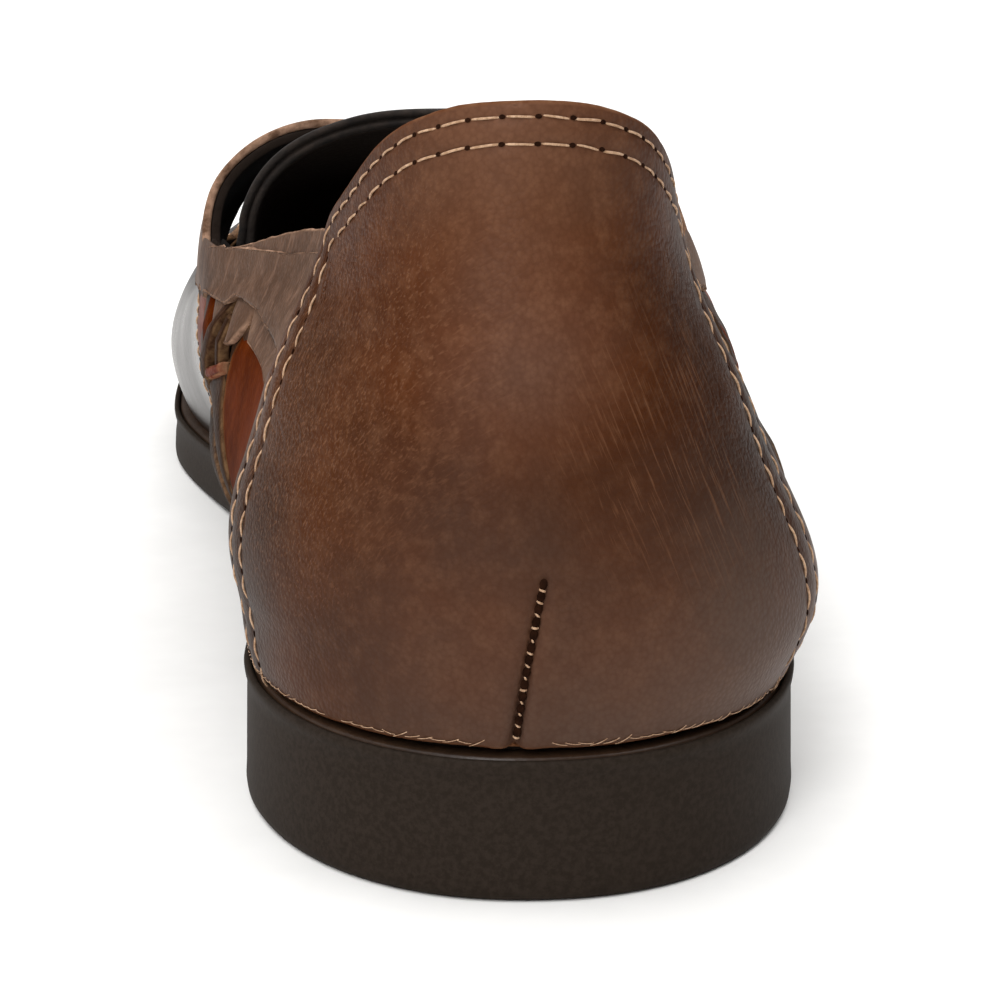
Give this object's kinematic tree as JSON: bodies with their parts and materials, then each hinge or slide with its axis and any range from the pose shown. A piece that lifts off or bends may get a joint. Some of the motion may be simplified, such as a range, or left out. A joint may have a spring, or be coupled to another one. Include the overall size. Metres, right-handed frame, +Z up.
{
  "type": "fisherman sandal",
  "caption": "Right leather shoe with closed heel and toe, woven strip quarters, wide instep strap over a tongue, open throat, stitched heel counter, welt and low rubber heel.",
  "frame": {"origin": "centre of the shoe's bounding box in X and Y, on the floor plane the sole stands on", "axes": "+Y towards the toe, +X towards the lateral (little-toe) side, +Z up"},
  "size_m": [0.0974, 0.2902, 0.086],
  "materials": {
    "upper_leather": "dark brown woven and smooth leather, satin",
    "counter_leather": "brown smooth leather, scuffed satin",
    "tongue_leather": "near-black leather, matt",
    "insole_leather": "brown leather, matt",
    "welt": "dark brown welt, satin",
    "outsole": "dark grey-brown rubber, matt"
  },
  "bodies": {
    "root": {"upper": "upper_leather", "heel_counter": "counter_leather", "tongue": "tongue_leather", "insole": "insole_leather", "welt": "welt", "outsole": "outsole"}
  },
  "joints": []
}
